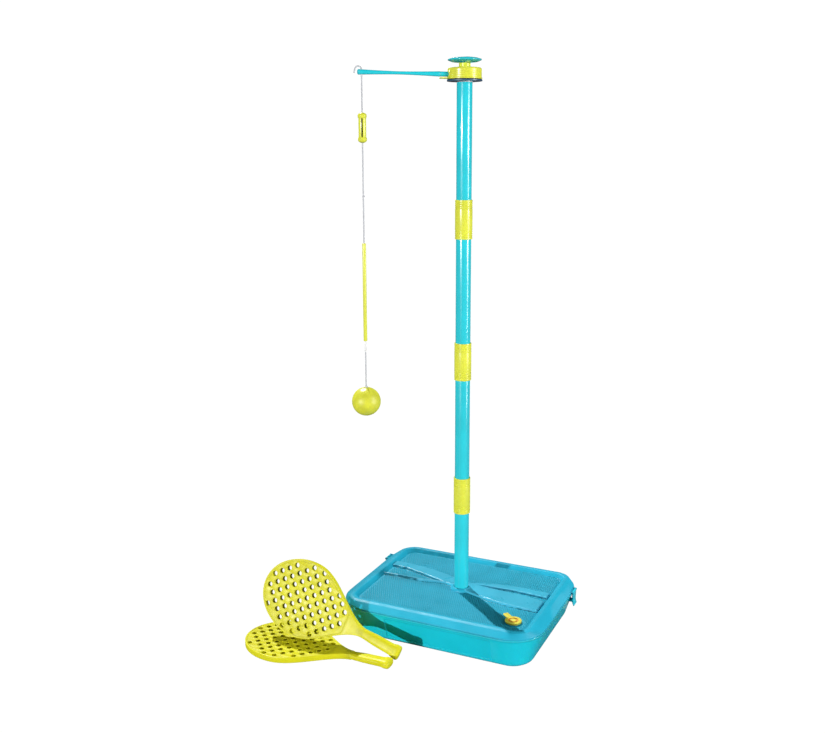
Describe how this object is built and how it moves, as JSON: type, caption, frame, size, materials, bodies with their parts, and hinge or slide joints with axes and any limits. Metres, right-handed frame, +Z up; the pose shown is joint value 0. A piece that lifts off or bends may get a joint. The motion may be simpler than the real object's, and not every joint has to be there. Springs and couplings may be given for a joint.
{
  "type": "tetherball set",
  "caption": "Weighted box-shaped base with a sectional pole, turning head and arm, a tether with ball, and a pair of perforated bats.",
  "frame": {"origin": "on the pole's axis, at the flat underside of the case", "axes": "+Z up along the pole; +X along the case's long side, towards the filler plug's end; +Y towards the back"},
  "size_m": [0.6307, 0.5222, 1.2268],
  "materials": {
    "tub_blue": "glossy turquoise moulding",
    "lid_blue": "satin cerulean moulding with a fine dotted grain",
    "pole_blue": "glossy turquoise tube",
    "yellow": "glossy lemon-yellow moulding",
    "plug_yellow": "soft yellow rubbery plastic",
    "dark_blue": "dark blue moulding",
    "white_plastic": "white acetal",
    "rubber": "black rubber",
    "steel": "plated steel",
    "cord": "white braided cord",
    "ball_yellow": "smooth soft foam-skin yellow",
    "bat_yellow": "slightly translucent lemon-yellow moulding"
  },
  "bodies": {
    "base": {"case_tub": "tub_blue", "pole_socket": "tub_blue", "lid_gasket": "rubber"},
    "lid": {"case_lid": "lid_blue", "filler_neck": "lid_blue", "latch_pins": "steel"},
    "filler": {"filler_plug": "plug_yellow", "plug_seal": "rubber"},
    "latch_r": {"latch_right": "tub_blue"},
    "latch_l": {"latch_left": "tub_blue"},
    "pole_1": {"pole_bottom": "pole_blue", "collar_lower": "yellow"},
    "pole_2": {"pole_lower": "pole_blue", "collar_middle": "yellow"},
    "pole_3": {"pole_upper": "pole_blue", "collar_upper": "yellow"},
    "pole_4": {"pole_top": "pole_blue", "spindle": "white_plastic", "head_base_plate": "dark_blue", "thrust_washer": "white_plastic"},
    "head": {"head_drum": "yellow", "bearing_bush": "white_plastic"},
    "knob": {"top_knob": "pole_blue", "knob_screw": "steel"},
    "arm_body": {"arm": "pole_blue", "cord_tail": "cord"},
    "tether_1": {"tether_cord_upper": "cord", "tether_knot": "cord"},
    "adjuster": {"adjuster_frame": "yellow", "adjuster_core": "rubber"},
    "tether_2": {"tether_cord_middle": "cord", "ferrule": "white_plastic"},
    "sleeve": {"grip_sleeve": "yellow"},
    "ball_body": {"ball": "ball_yellow", "ball_loop": "cord", "tether_cord_lower": "cord"},
    "bat_1": {"bat_lower": "bat_yellow"},
    "bat_2": {"bat_upper": "bat_yellow"}
  },
  "joints": [
    {"name": "lid_lift", "type": "slide", "parent": "base", "child": "lid", "axis": [0, 0, 1], "range_m": [0, 0.15]},
    {"name": "filler_plug_lift", "type": "slide", "parent": "lid", "child": "filler", "axis": [0, 0, 1], "range_m": [0, 0.03]},
    {"name": "latch_right_turn", "type": "hinge", "parent": "lid", "child": "latch_r", "pos_m": [0.233, 0.1, 0.073], "axis": [0, -1, 0], "range_deg": [0, 100]},
    {"name": "latch_left_turn", "type": "hinge", "parent": "lid", "child": "latch_l", "pos_m": [-0.233, 0.1, 0.073], "axis": [0, 1, 0], "range_deg": [0, 100]},
    {"name": "pole_lift", "type": "slide", "parent": "base", "child": "pole_1", "axis": [0, 0, 1], "range_m": [0, 0.07]},
    {"name": "pole_lower_lift", "type": "slide", "parent": "pole_1", "child": "pole_2", "axis": [0, 0, 1], "range_m": [0, 0.045]},
    {"name": "pole_upper_lift", "type": "slide", "parent": "pole_2", "child": "pole_3", "axis": [0, 0, 1], "range_m": [0, 0.045]},
    {"name": "pole_top_lift", "type": "slide", "parent": "pole_3", "child": "pole_4", "axis": [0, 0, 1], "range_m": [0, 0.045]},
    {"name": "head_spin", "type": "hinge", "parent": "pole_4", "child": "head", "pos_m": [0, 0, 1.195], "axis": [0, 0, 1], "continuous": true},
    {"name": "knob_turn", "type": "hinge", "parent": "pole_4", "child": "knob", "pos_m": [0, 0, 1.22], "axis": [0, 0, 1], "continuous": true},
    {"name": "arm_pull", "type": "slide", "parent": "head", "child": "arm_body", "axis": [-0.6984, -0.7157, 0], "range_m": [0, 0.03]},
    {"name": "tether_swing", "type": "hinge", "parent": "arm_body", "child": "tether_1", "pos_m": [-0.15253, -0.15631, 1.1855], "axis": [-0.7157, 0.6984, 0], "range_deg": [-8, 85]},
    {"name": "adjuster_slide", "type": "slide", "parent": "tether_1", "child": "adjuster", "axis": [0, 0, 1], "range_m": [-0.03, 0.03]},
    {"name": "tether_sway", "type": "hinge", "parent": "tether_1", "child": "tether_2", "pos_m": [-0.15253, -0.15631, 0.9546], "axis": [-0.6984, -0.7157, 0], "range_deg": [-60, 60]},
    {"name": "sleeve_slide", "type": "slide", "parent": "tether_2", "child": "sleeve", "axis": [0, 0, 1], "range_m": [0, 0.08]},
    {"name": "ball_swing", "type": "hinge", "parent": "tether_2", "child": "ball_body", "pos_m": [-0.15253, -0.15631, 0.641], "axis": [-0.7157, 0.6984, 0], "range_deg": [-15, 45]},
    {"name": "bat_lower_lift", "type": "slide", "parent": "base", "child": "bat_1", "axis": [0, 0, 1], "range_m": [0, 0.12]},
    {"name": "bat_upper_lift", "type": "slide", "parent": "bat_1", "child": "bat_2", "axis": [0, 0, 1], "range_m": [0, 0.15]}
  ]
}
